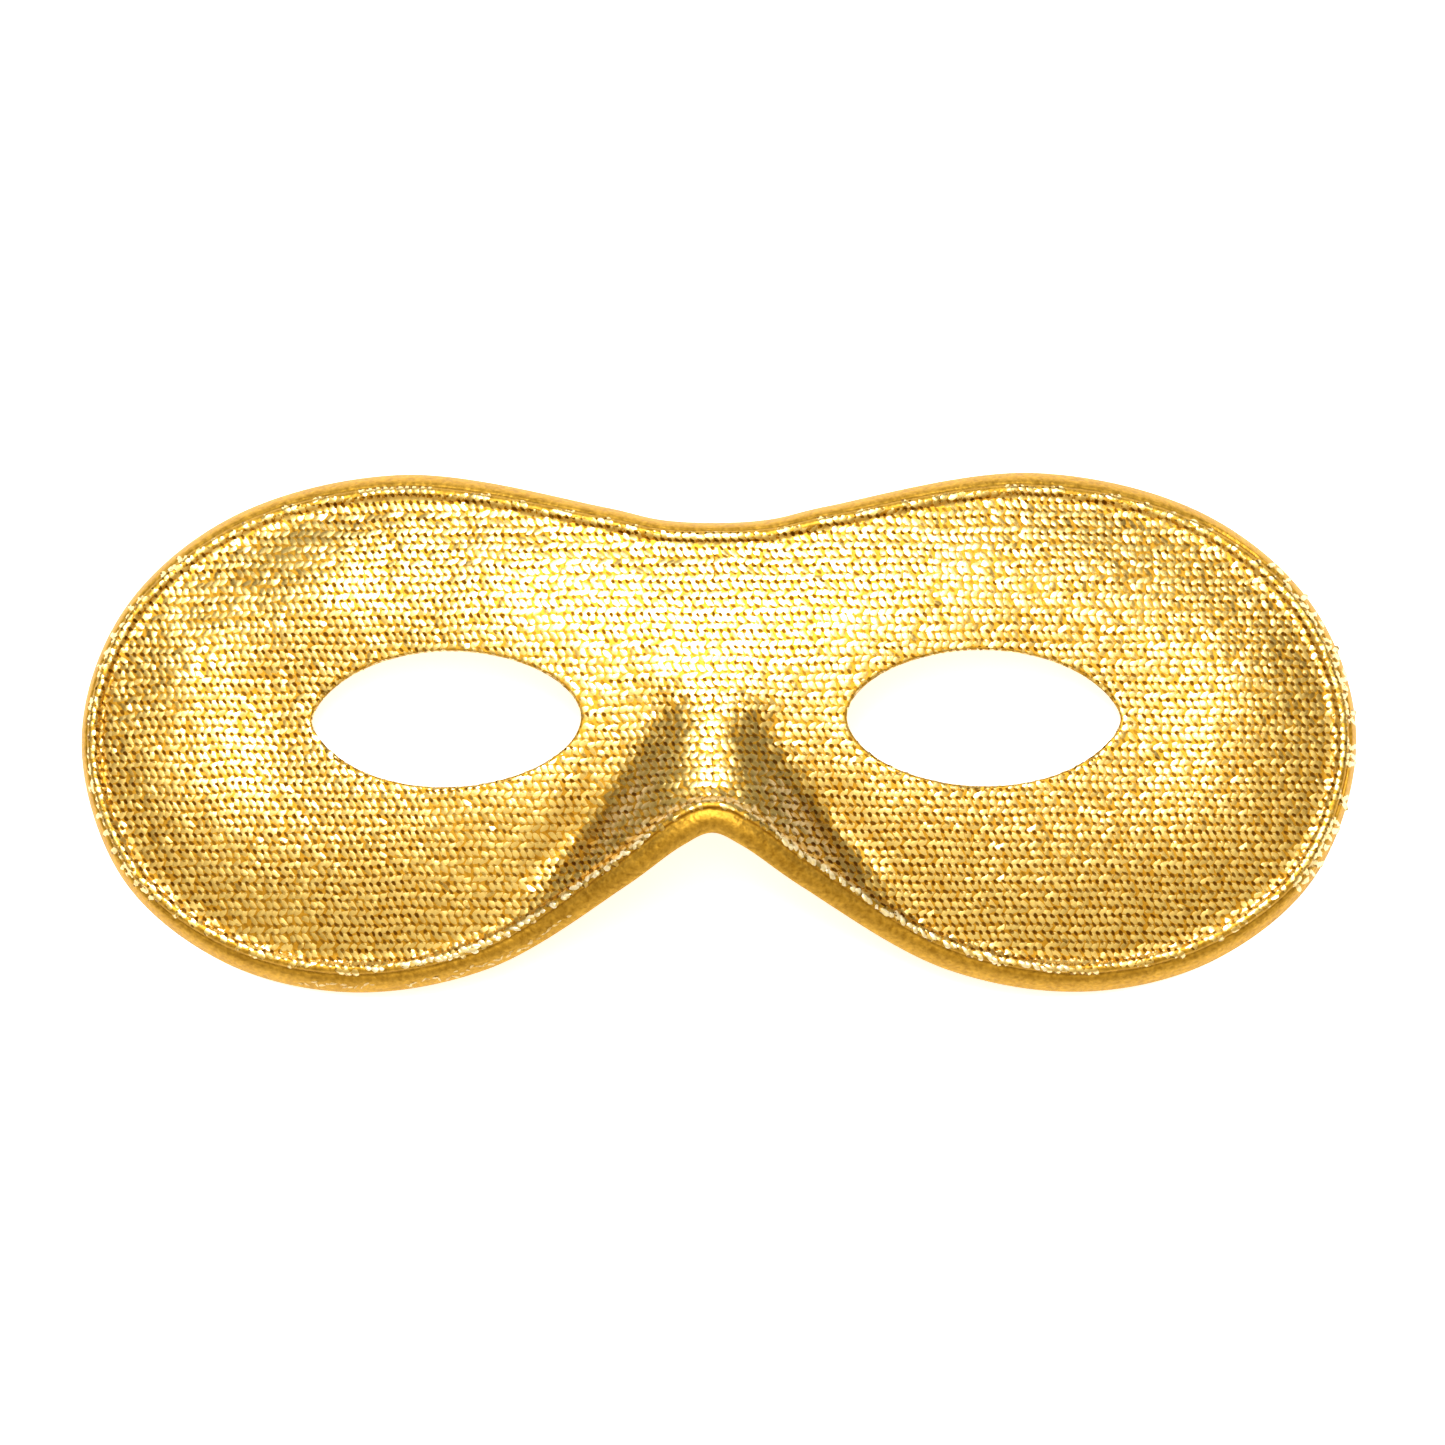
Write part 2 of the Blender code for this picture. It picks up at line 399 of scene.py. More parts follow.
    def bed(self, x: Array, y: Array) -> Array:
        """Height of the rim's foot at the places (x, y): the bow of the whole mask and the nose."""
        inside = np.minimum(np.abs(x) / self.bow_half_span, 1.0)
        return self.bow_depth * np.cos(math.pi / 2 * inside) ** 2 + self.nose(x, y)

    def inset(self, x: Array, y: Array) -> tuple[Array, Array]:
        """Measure how far places lie inside the outline.

        Args:
            x: Places across.
            y: Places up.

        Returns:
            Distances from the outline, and the reach of the skirt at the nearest station.
        """
        flat_x, flat_y = np.abs(np.ravel(x)), np.ravel(y)
        index = self._nearest(self.tree, flat_x, flat_y, 1)
        off = np.stack([flat_x, flat_y], axis=1) - self.place[index]
        distance = (off * self.inward[index]).sum(axis=1)
        return distance.reshape(np.shape(x)), self.reach[index].reshape(np.shape(x))

    @staticmethod
    def _nearest(tree: KDTree, x: Array, y: Array, part: int) -> Array:
        """One part of what a tree finds at each place: 1 is the station's number, 2 its distance."""
        return np.array([tree.find((px, py, 0.0))[part] for px, py in zip(x.tolist(), y.tolist())])

    def eye_distance(self, x: Array, y: Array) -> Array:
        """Measure how far places lie outside the eye hole.

        Args:
            x: Places across.
            y: Places up.

        Returns:
            Distances from the hole's edge, negative in the hole.
        """
        flat_x, flat_y = np.abs(np.ravel(x)), np.ravel(y)
        distance = self._nearest(self.eye_tree, flat_x, flat_y, 2)
        edge_x, edge_y = self.eye_point(flat_x, flat_y)
        to_place = np.hypot(flat_x - self.eye_offset, flat_y - self.eye_rise)
        to_edge = np.hypot(edge_x - self.eye_offset, edge_y - self.eye_rise)
        return (distance * np.sign(to_place - to_edge)).reshape(np.shape(x))

    def crown(self, inset: Array, reach: Array) -> Array:
        """How far the front stands above its own edge."""
        past = np.clip((inset - reach - 2 * self.bead_radius) / self.crown_reach, 0.0, 1.0)
        return self.crown_depth * np.sin(math.pi / 2 * past)

    def front(self, inset: Array, reach: Array) -> Array:
        """Plain front above the bed, with no bead and no groove."""
        return self.rim_depth - self.groove_depth + self.crown(inset, reach)

    def skirt(self, share: Array) -> Array:
        """Height of the skirt above the foot at shares of its reach."""
        return self.bead_height * (1.0 - (1.0 - np.clip(share, 0.0, 1.0)) ** self.skirt_hollow)


@dataclass
class FabricField:
    """Height of the knit's outside over the plane of the mask, kept on a fine grid."""

    form: MaskForm
    step: float = 0.16 * MM
    margin: float = 1.6 * MM
    groove_dip: float = -0.18 * MM
    groove_offset: float = 0.35 * MM
    groove_half_width: float = 0.42 * MM
    eye_round: float = 0.35 * MM
    hollow_fade: float = 6.0 * MM
    bead_flatness: int = 4
    bead_fullness: float = 0.6
    seam_half_width: float = 0.3 * MM
    last_cell: float = 1.001

    def __post_init__(self) -> None:
        """Fill the grids, of which the left half repeats the right one up to the hollows."""
        form = self.form
        self.low_y = -form.half_height - self.margin
        xs = np.arange(0.0, form.half_width + self.margin, self.step)
        self.low_x = -xs[-1]
        ys = np.arange(self.low_y, form.half_height + self.margin, self.step)
        grid_x, grid_y = np.meshgrid(xs, ys)
        inset, reach = form.inset(grid_x, grid_y)
        bed = form.bed(grid_x, grid_y)
        past = inset - reach - 2 * form.bead_radius
        lobe = np.clip((inset - reach - form.bead_radius) / form.bead_radius, -1.0, 1.0)
        round_off = (1.0 - lobe ** self.bead_flatness) ** self.bead_fullness
        bead = form.bead_radius * round_off
        rim = form.skirt(inset / reach) + bead
        front = form.front(inset, reach)
        dip = np.exp(-((past - self.groove_offset) / self.groove_half_width) ** 2)
        seam = smooth_step(-self.seam_half_width, self.seam_half_width, past)
        sides = (bed + rim * (1.0 - seam) + front * seam, bed + front, inset, reach, dip)
        sides += (form.eye_distance(grid_x, grid_y), smooth_step(0.0, self.hollow_fade, past))
        both = [np.hstack([side[:, :0:-1], side]) for side in sides]
        self.height, self.plain, self.inset, self.reach, dip, self.eye, fade = both
        full_x, full_y = np.meshgrid(np.concatenate([-xs[:0:-1], xs]), ys)
        pressed = fade * sum(hollow.at(full_x, full_y) for hollow in HOLLOWS)
        creased = sum(crease.at(full_x, full_y) for crease in GROOVE_CREASES)
        self.height = self.height - pressed - dip * (self.groove_dip + creased)
        self.plain = self.plain - pressed
        self.slope_y, self.slope_x = np.gradient(self.height, self.step)
        self.plain_y, self.plain_x = np.gradient(self.plain, self.step)
        self.eye_y, self.eye_x = np.gradient(self.eye, self.step)

    def sample(self, grid: Array, x: Array, y: Array) -> Array:
        """Read a grid at any place, blended between its nodes.

        Args:
            grid: One of the field's grids.
            x: Places across.
            y: Places up.

        Returns:
            The grid's value at each place.
        """
        column = np.clip((x - self.low_x) / self.step, 0.0, grid.shape[1] - self.last_cell)
        row = np.clip((y - self.low_y) / self.step, 0.0, grid.shape[0] - self.last_cell)
        left, low = column.astype(int), row.astype(int)
        across, up = column - left, row - low
        below = grid[low, left] * (1 - across) + grid[low, left + 1] * across
        above = grid[low + 1, left] * (1 - across) + grid[low + 1, left + 1] * across
        return below * (1 - up) + above * up

    def away(self, x: Array, y: Array) -> tuple[Array, Array]:
        """Find the directions that lead straight away from the nearer eye hole.

        Args:
            x: Places across.
            y: Places up.

        Returns:
            The two parts of the directions, which are one unit long.
        """
        across, up = self.sample(self.eye_x, x, y), self.sample(self.eye_y, x, y)
        length = np.maximum(np.hypot(across, up), LEAST)
        return across / length, up / length

    def drape(self, x: Array, y: Array, lift: Array) -> Array:
        """Lay flat places onto the mask, and round the edge into the eye holes.

        Args:
            x: Places across.
            y: Places up.
            lift: How far each point stands off the fabric.

        Returns:
            Points in space, with one more axis than x.
        """
        distance = self.sample(self.eye, x, y)
        away_x, away_y = self.away(x, y)
        over = np.maximum(self.eye_round - distance, 0.0)
        turn = np.minimum(over / self.eye_round, math.pi / 2)
        kept = np.where(over > 0.0, self.eye_round * (1.0 - np.sin(turn)), distance)
        straight = np.maximum(over - self.eye_round * math.pi / 2, 0.0)
        drop = np.where(over > 0.0, self.eye_round * (1.0 - np.cos(turn)) + straight, 0.0)
        edge_x, edge_y = x + away_x * (kept - distance), y + away_y * (kept - distance)
        slope_x = self.sample(self.slope_x, edge_x, edge_y)
        slope_y = self.sample(self.slope_y, edge_x, edge_y)
        normal = np.stack([-slope_x, -slope_y, np.ones(np.shape(x))], axis=-1)
        normal /= np.linalg.norm(normal, axis=-1, keepdims=True)
        inward = np.stack([-away_x, -away_y, np.zeros(np.shape(x))], axis=-1)
        bend = np.where(over > 0.0, np.sin(turn), 0.0)[..., None]
        normal = normal * (1.0 - bend) + inward * bend
        normal /= np.linalg.norm(normal, axis=-1, keepdims=True)
        height = self.sample(self.height, edge_x, edge_y) - drop
        return np.stack([edge_x, edge_y, height], axis=-1) + normal * np.asarray(lift)[..., None]

    def underside(self, x: Array, y: Array) -> Array:
        """Points of the mask's inner surface.

        Args:
            x: Places across.
            y: Places up.

        Returns:
            The points below the places, one row each.
        """
        slope_x = self.sample(self.plain_x, x, y)
        slope_y = self.sample(self.plain_y, x, y)
        wall = self.form.wall * np.sqrt(1.0 + slope_x ** 2 + slope_y ** 2)
        return np.stack([x, y, self.sample(self.plain, x, y) - wall], axis=-1)


class Value:
    """A socket's value in a material; arithmetic on it adds Math nodes."""

    def __init__(self, sheet: "ShaderSheet", socket: bpy.types.NodeSocket) -> None:
        """Wrap a socket of a sheet."""
        self.sheet = sheet
        self.socket = socket

    def _math(self, operation: str, first: Any, second: Any) -> "Value":
        """Add a Math node that works on two values."""
        return self.sheet.node("ShaderNodeMath", {"operation": operation}, {0: first, 1: second})

    def __add__(self, other: Any) -> "Value":
        """Sum of two values."""
        return self._math("ADD", self, other)

    __radd__ = __add__

    def __sub__(self, other: Any) -> "Value":
        """This value less another."""
        return self._math("SUBTRACT", self, other)

    def __rsub__(self, other: Any) -> "Value":
        """Another value less this one."""
        return self._math("SUBTRACT", other, self)

    def __mul__(self, other: Any) -> "Value":
        """Product of two values."""
        return self._math("MULTIPLY", self, other)

    __rmul__ = __mul__

    def fraction(self) -> "Value":
        """What this value has past a whole number."""
        return self._math("FRACT", self, 0.0)

    def clamped(self) -> "Value":
        """This value kept between 0 and 1."""
        return self.sheet.node("ShaderNodeClamp", {}, {"Value": self})


class ShaderSheet:
    """The nodes of one material."""

    def __init__(self, name: str) -> None:
        """Start a material with a Principled shader.

        Args:
            name: The material's name.
        """
        self.material = bpy.data.materials.new(name)
        self.material.use_nodes = True
        self.tree = self.material.node_tree
        self.shader = self.tree.nodes["Principled BSDF"]

    def node(self, kind: str, settings: dict[str, Any], inputs: dict[Any, Any], output: Any = 0) -> Value:
        """Add a node.

        Args:
            kind: The node's type.
            settings: Properties that are set first; "stops" fills a colour ramp.
            inputs: Values or links of the sockets, by name or number.
            output: Name or number of the output that is used.

        Returns:
            The output's value.
        """
        added = self.tree.nodes.new(kind)
        for name, setting in settings.items():
            if name == "stops":
                self._fill_ramp(added, setting)
            else:
                setattr(added, name, setting)
        for name, given in inputs.items():
            self.feed(added.inputs[name], given)
        return Value(self, added.outputs[output])

    @staticmethod
    def _fill_ramp(ramp: bpy.types.Node, stops: tuple[tuple[float, tuple[float, ...]], ...]) -> None:
        """Give a colour ramp its stops.

        Args:
            ramp: The ramp's node.
            stops: Position and colour of each stop, in order.
        """
        elements = ramp.color_ramp.elements
        while len(elements) < len(stops):
            elements.new(1.0)
        for element, (position, colour) in zip(elements, stops):
            element.position = position
            element.color = colour

    def feed(self, socket: bpy.types.NodeSocket, given: Any) -> None:
        """Link a value to a socket, or set the socket itself.

        Args:
            socket: The socket that is fed.
            given: A value of the sheet, or a number, vector or colour.
        """
        if isinstance(given, Value):
            self.tree.links.new(given.socket, socket)
        else:
            socket.default_value = given

    def surface(self, inputs: dict[str, Any]) -> None:
        """Set or link the shader's sockets, by name."""
        for name, given in inputs.items():
            self.feed(self.shader.inputs[name], given)

    def place(self) -> Value:
        """Coordinates that stay on the object."""
        return self.node("ShaderNodeTexCoord", {}, {}, "Object")

    def grain(self, scale: float, detail: float) -> Value:
        """Noise over the object, from 0 to 1."""
        inputs = {"Vector": self.place(), "Scale": scale, "Detail": detail, "Roughness": 0.5}
        return self.node("ShaderNodeTexNoise", {}, inputs, "Fac")

    def pinholes(self) -> Value:
        """Find where the knit is open and the finishes paint its shade: slanted points between two wales,
        and others along their middle.

        Returns:
            1 in an opening and 0 on the yarn.
        """
        loops = self.node("ShaderNodeAttribute", {"attribute_name": LOOPS}, {}, "Vector")
        unrest = self.grain(UNREST_GRAIN, 1.0) * 0.5 - 0.25
        course = self.node("ShaderNodeSeparateXYZ", {}, {0: loops}, "X") + unrest
        wale = self.node("ShaderNodeSeparateXYZ", {}, {0: loops}, "Y") * 0.5 + unrest * 0.3
        between = self._hole_row(course + 0.3, wale, slant=0.45, scale=230.0)
        middle = self._hole_row(course + 0.8, wale + 0.5, slant=0.60, scale=310.0)
        return (between + middle * 0.9).clamped()

    def _hole_row(self, course: Value, wale: Value, slant: float, scale: float) -> Value:
        """Make one row of slanted openings.

        Args:
            course: Place in the knit along the wales, in courses.
            wale: Place in the knit across the wales, in wales.
            slant: How far an opening leans along the wale for each step across it.
            scale: Scale of the noise by which the openings' strength goes up and down.

        Returns:
            1 in a strong opening and 0 on the yarn.
        """
        up = (wale.fraction() - 0.5) * WALE_MM
        across = (course.fraction() - 0.5) * COURSE_MM + up * slant
        opening = (HOLE_PEAK - (across * across * HOLE_NARROWING + up * up) * HOLE_FALL).clamped()
        strength = (self.grain(scale, 2.0) + self.grain(PATCH_GRAIN, 1.0)) * PATCH_GAIN - PATCH_FLOOR
        return opening * strength.clamped()

    def mix_colour(self, factor: Any, first: Any, second: Any) -> Value:
        """Blend of two colours."""
        inputs = {"Factor": factor, 6: first, 7: second}
        return self.node("ShaderNodeMix", {"data_type": "RGBA"}, inputs, 2)

    def bump(self, height: Value, strength: float, distance: float) -> Value:
        """Normal for a fine relief."""
        inputs = {"Height": height, "Strength": strength, "Distance": distance}
        return self.node("ShaderNodeBump", {}, inputs, "Normal")


class SkySheet(ShaderSheet):
    """The nodes of the scene's world."""

    def __init__(self, name: str) -> None:
        """Start the world with a Background shader.

        Args:
            name: The world's name.
        """
        world = bpy.data.worlds.new(name)
        world.use_nodes = True
        bpy.context.scene.world = world
        self.tree = world.node_tree
        self.shader = self.tree.nodes["Background"]


@dataclass(frozen=True)
class StitchFinish:
    """Foil-faced yarn of the stitches: bright gold, glossy, uneven from stitch to stitch, with painted
    shade in the knit's openings.
    """

    name: str = "lame_stitch"
    pale: tuple[float, ...] = (1.0, 0.75, 0.19, 1.0)
    deep: tuple[float, ...] = (0.90, 0.56, 0.045, 1.0)
    shade: tuple[float, ...] = (0.20, 0.085, 0.004, 1.0)
    opening_shade: float = 1.0
    roughness: float = 0.42
    roughness_spread: float = 0.16
    metallic: float = 1.0
    coat: float = 1.0
    coat_roughness: float = 0.30
    coat_ior: float = 3.0
    stitch_grain: float = 760.0
    cloth_grain: float = 70.0
    crinkle_grain: float = 3200.0
    relief: float = 0.55
    relief_depth: float = 0.06 * MM

    def material(self) -> bpy.types.Material:
        """Build the material."""
        sheet = ShaderSheet(self.name)
        stitch = sheet.grain(self.stitch_grain, 1.0)
        cloth = sheet.grain(self.cloth_grain, 3.0)
        crinkle = sheet.grain(self.crinkle_grain, 2.0)
        tone = (crinkle * 1.4 + stitch * 1.2 + cloth * 0.7 - 1.15).clamped()
        foil = sheet.mix_colour(tone, self.deep, self.pale)
        # The knit's openings are painted in the shade colour, as the shade that falls inside them, and
        # lose their coat there.
        holes = sheet.pinholes() * self.opening_shade
        sheet.surface({
            "Base Color": sheet.mix_colour(holes, foil, self.shade),
            "Coat Weight": (1.0 - holes) * self.coat,
            "Coat Roughness": self.coat_roughness,
            "Coat IOR": self.coat_ior,
            "Metallic": self.metallic,
            "Roughness": crinkle * self.roughness_spread + (self.roughness - self.roughness_spread / 2),
            "Normal": sheet.bump(crinkle, self.relief, self.relief_depth),
        })
        return sheet.material


@dataclass(frozen=True)
class GroundFinish:
    """The knit's ground that shows between the stitches, coloured darker than the yarn as painted shade
    in the gaps.
    """

    # Both tones are darker than the yarn's: painted shade for the gaps, mixed at random by the thread's
    # noise.
    colour: tuple[float, ...] = (0.74, 0.41, 0.042, 1.0)
    shadow: tuple[float, ...] = (0.50, 0.25, 0.018, 1.0)
    shade: tuple[float, ...] = (0.14, 0.05, 0.002, 1.0)
    metallic: float = 0.95
    roughness: float = 0.45
    roughness_spread: float = 0.2
    thread_grain: float = 1500.0
    relief: float = 0.5
    relief_depth: float = 0.1 * MM

    def material(self) -> bpy.types.Material:
        """Build the material."""
        sheet = ShaderSheet("lame_ground_gap_shade")
        grain = sheet.grain(self.thread_grain, 3.0)
        thread = sheet.mix_colour(grain, self.shadow, self.colour)
        sheet.surface({
            # The knit's openings are painted in the shade colour, as the shade that falls inside them.
            "Base Color": sheet.mix_colour(sheet.pinholes(), thread, self.shade),
            "Metallic": self.metallic,
            "Roughness": grain * self.roughness_spread + self.roughness,
            "Normal": sheet.bump(grain, self.relief, self.relief_depth),
        })
        return sheet.material


@dataclass(frozen=True)
class SkirtFinish:
    """The same knit drawn tight over an edge, where its stitches run together into a smooth ochre."""

    name: str = "lame_skirt"
    colour: tuple[float, ...] = (0.68, 0.40, 0.050, 1.0)
    deep: tuple[float, ...] = (0.42, 0.22, 0.018, 1.0)
    metallic: float = 0.85
    specular: float = 0.2
    roughness: float = 0.42
    roughness_spread: float = 0.2
    cloth_grain: float = 240.0
    thread_grain: float = 1500.0
    relief: float = 1.0
    relief_depth: float = 0.12 * MM

    def material(self) -> bpy.types.Material:
        """Build the material."""
        sheet = ShaderSheet(self.name)
        cloth = sheet.grain(self.cloth_grain, 3.0)
        thread = sheet.grain(self.thread_grain, 2.0)
        tone = (cloth * 0.7 + thread * 2.4 - 1.05).clamped()
        sheet.surface({
            "Base Color": sheet.mix_colour(tone, self.deep, self.colour),
            "Metallic": self.metallic,
            "Specular IOR Level": self.specular,
            "Roughness": thread * self.roughness_spread + self.roughness,
            "Normal": sheet.bump(thread, self.relief, self.relief_depth),
        })
        return sheet.material


@dataclass(frozen=True)
class BackFinish:
    """Plain wrong side of the cloth inside the mask."""

    colour: tuple[float, ...] = (0.50, 0.37, 0.17, 1.0)
    deep: tuple[float, ...] = (0.36, 0.25, 0.10, 1.0)
    roughness: float = 0.85
    nap_grain: float = 900.0
    relief: float = 0.5
    relief_depth: float = 0.15 * MM

    def material(self) -> bpy.types.Material:
        """Build the material."""
        sheet = ShaderSheet("plain_back")
        nap = sheet.grain(self.nap_grain, 4.0)
        sheet.surface({
            "Base Color": sheet.mix_colour(nap, self.deep, self.colour),
            "Metallic": 0.0,
            "Roughness": self.roughness,
            "Normal": sheet.bump(nap, self.relief, self.relief_depth),
        })
        return sheet.material


@dataclass(frozen=True)
class FloorFinish:
    """Plain pale floor."""

    colour: tuple[float, ...] = (0.93, 0.93, 0.92, 1.0)
    roughness: float = 0.9
    glow: tuple[float, ...] = (1.0, 1.0, 1.0, 1.0)
    glow_strength: float = 0.7

    def material(self) -> bpy.types.Material:
        """Build the material."""
        sheet = ShaderSheet("pale_floor")
        sheet.surface({
            "Base Color": self.colour,
            "Roughness": self.roughness,
            "Emission Color": self.glow,
            "Emission Strength": self.glow_strength,
        })
        return sheet.material


def add_object(name: str, data: bpy.types.ID) -> bpy.types.Object:
    """Make an object and put it in the scene.

    Args:
        name: The object's name.
        data: Its mesh, light or camera.

    Returns:
        The new object.
    """
    made = bpy.data.objects.new(name, data)
    bpy.context.scene.collection.objects.link(made)
    return made


def mesh_object(
    name: str, points: Array, faces: list[tuple[int, ...]], smooth: bool = True
) -> bpy.types.Object:
    """Make a mesh object and put it in the scene.

    Args:
        name: The object's name.
        points: Its points, one row each.
        faces: Point numbers of each face.
        smooth: Whether it is shaded smooth.

    Returns:
        The new object.
    """
    mesh = bpy.data.meshes.new(name)
    mesh.from_pydata(points.tolist(), [], faces)
    mesh.validate()
    if smooth:
        mesh.shade_smooth()
    return add_object(name, mesh)


def ring_faces(rings: int, count: int, close_rings: bool) -> list[tuple[int, ...]]:
    """Join closed rings of points that follow each other with quads.

    Args:
        rings: Number of rings.
        count: Points in each ring.
        close_rings: Whether the last ring is joined to the first.

    Returns:
        Point numbers of each face.
    """
    faces = []
    for ring in range(rings if close_rings else rings - 1):
        near, far = ring * count, (ring + 1) % rings * count
        for index in range(count):
            after = (index + 1) % count
            faces.append((near + index, far + index, far + after, near + after))
    return faces


@dataclass
class Jersey:
    """How the knit lies on the mask: the size of its stitches and the way the cloth is stretched."""

    form: MaskForm
    course: float = 1.094 * MM
    half_wale: float = 1.165 * MM
    arch: float = 0.10
    wander: float = 0.13 * MM
    wander_length: float = 17.0 * MM
    passes: int = 3
    seed: int = 7

    def __post_init__(self) -> None:
        """Choose the two directions' drift."""
        self.drift = [Swell(self.seed + 1 + axis, self.wander_length) for axis in range(2)]

    def _moved(self, x: Array, y: Array) -> tuple[Array, Array]:
        """How far a place of the flat cloth is moved: rows arch over the nose and wander a little."""
        drift_x, drift_y = (drift.at(x, y) * self.wander for drift in self.drift)
        return drift_x, drift_y + self.arch * self.form.nose(x, y)

    def stretched(self, place: Array) -> Array:
        """Where places of the flat cloth come to lie."""
        return place + np.stack(self._moved(place[:, 0], place[:, 1]), axis=1)

    def mark(self, piece: bpy.types.Object, x: Array, y: Array) -> None:
        """Note on each point of a piece where it lies in the knit, in courses and half wales.

        Args:
            piece: The piece that gets the note.
            x: Places of its points across.
            y: Places of its points up.
        """
        flat_x, flat_y = x, y
        for _ in range(self.passes):
            move_x, move_y = self._moved(flat_x, flat_y)
            flat_x, flat_y = x - move_x, y - move_y
        loops = np.zeros((np.size(x), 3))
        loops[:, 0] = np.ravel(flat_x + self.form.half_width) / self.course
        loops[:, 1] = np.ravel(flat_y + self.form.half_height) / self.half_wale
        note = piece.data.attributes.new(LOOPS, "FLOAT_VECTOR", "POINT")
        note.data.foreach_set("vector", loops.ravel())


@dataclass
class FrontCover:
    """The moulded front with its ground of knit: outside, rolled eye edges and plain inside, closed."""

    form: MaskForm
    field: FabricField
    jersey: Jersey
    name: str = "front_cover"
    edge_stations: int = 240
    middle_steps: int = 44
    face_rings: int = 46
    roll_rings: int = 5
    back_rings: int = 16
    edge_gap: float = 0.05 * MM
    edge_tuck: float = 0.35 * MM
    edge_drop: float = 0.6
    weld: float = 0.01 * MM

    def build(self) -> bpy.types.Object:
        """Build the cover from its right and its left half.

        Returns:
            The finished piece.
        """
        points, faces, count = self._half(1.0)
        far_points, far_faces, _ = self._half(-1.0)
        size = len(points)
        every = np.concatenate([points, far_points])
        faces += [tuple(size + corner for corner in face[::-1]) for face in far_faces]
        cover = mesh_object(self.name, every, faces)
        for finish in (GroundFinish(), SkirtFinish("lame_hem"), BackFinish()):
            cover.data.materials.append(finish.material())
        # The rings are the tucked edge, the face, the roll and its tail, and then the inside.
        hem, inside = self.face_rings * count, (self.face_rings + self.roll_rings + 2) * count
        for polygon in cover.data.polygons:
            first = min(polygon.vertices) % size
            polygon.material_index = int(first >= hem) + int(first >= inside)
        self.jersey.mark(cover, every[:, 0], every[:, 1])
        work = bmesh.new()
        work.from_mesh(cover.data)
        bmesh.ops.remove_doubles(work, verts=work.verts, dist=self.weld)
        work.to_mesh(cover.data)
        work.free()
        return cover

    def _half(self, side: float) -> tuple[Array, list[tuple[int, ...]], int]:
        """Build one half.

        Args:
            side: 1 for the right half, -1 for the left one.

        Returns:
            Points, faces, and how many points each ring has.
        """
        form = self.form
        pick = np.linspace(0, form.stations - 1, self.edge_stations).round().astype(int)
        inset = (form.reach[pick] + 2 * form.bead_radius + self.edge_gap)[:, None]
        tuck = self._loop(form.place[pick] + form.inward[pick] * (inset - self.edge_tuck))
        loop = self._loop(form.place[pick] + form.inward[pick] * inset)
        eye = np.stack(form.eye_point(loop[:, 0], loop[:, 1]), axis=1)
        flip = np.array([side, 1.0])
        tuck, loop, eye = tuck * flip, loop * flip, eye * flip
        below = self.field.sample(self.field.plain, tuck[:, 0], tuck[:, 1]) - self.field.groove_dip
        rings = [np.column_stack([tuck, below])]
        rings += [self._face_ring(loop, eye, share) for share in self._shares(self.face_rings)]
        for step in range(1, self.roll_rings + 1):
            over = self.field.eye_round * math.pi / 2 * step / self.roll_rings
            rings.append(self._roll_ring(eye, self.field.eye_round - over))
        rings.append(self._roll_ring(eye, -form.wall * self.edge_drop))
        for share in self._shares(self.back_rings)[::-1]:
            flat = tuck + (eye - tuck) * share
            rings.append(self.field.underside(flat[:, 0], flat[:, 1]))
        count = len(loop)
        faces = ring_faces(len(rings), count, close_rings=False)
        last = (len(rings) - 1) * count
        for index in range(self.edge_stations - 1):
            faces.append((last + index, index, index + 1, last + index + 1))
        return np.concatenate(rings), faces, count

    def _loop(self, edge: Array) -> Array:
        """Close the right half's edge along the middle of the mask.

        Args:
            edge: Flat places on the edge, one row each, from the brow to the notch.

        Returns:
            The places of the closed loop.
        """
        edge[[0, -1], 0] = 0.0
        shares = np.linspace(0.0, 1.0, self.middle_steps + 1)[1:-1, None]
        return np.vstack([edge, edge[-1] + (edge[0] - edge[-1]) * shares])

    @staticmethod
    def _shares(rings: int) -> list[float]:
        """Shares of the way from the rim to the eye hole, closer together at both."""
        even = np.linspace(0.0, 1.0, rings)
        return ((even + (1.0 - np.cos(math.pi * even)) / 2.0) / 2.0).tolist()

    def _face_ring(self, loop: Array, eye: Array, share: float) -> Array:
        """One ring of the outside, which ends where the eye hole's edge starts to roll.

        Args:
            loop: Flat places on the half's edge.
            eye: Flat places on the eye hole's edge that face them.
            share: Share of the way from the one to the other.

        Returns:
            The ring's points, one row each.
        """
        away = eye - loop
        away /= np.linalg.norm(away, axis=1, keepdims=True)
        flat = loop + (eye - away * self.field.eye_round - loop) * share
        return self.field.drape(flat[:, 0], flat[:, 1], np.zeros(len(flat)))

    def _roll_ring(self, eye: Array, distance: float) -> Array:
        """One ring of the rolled eye edge.

        Args:
            eye: Flat places on the eye hole's edge.
            distance: How far outside the hole the ring lies, along the flat cloth.

        Returns:
            The ring's points, one row each.
        """
        away_x, away_y = self.field.away(eye[:, 0], eye[:, 1])
        x, y = eye[:, 0] + away_x * distance, eye[:, 1] + away_y * distance
        return self.field.drape(x, y, np.zeros(len(eye)))


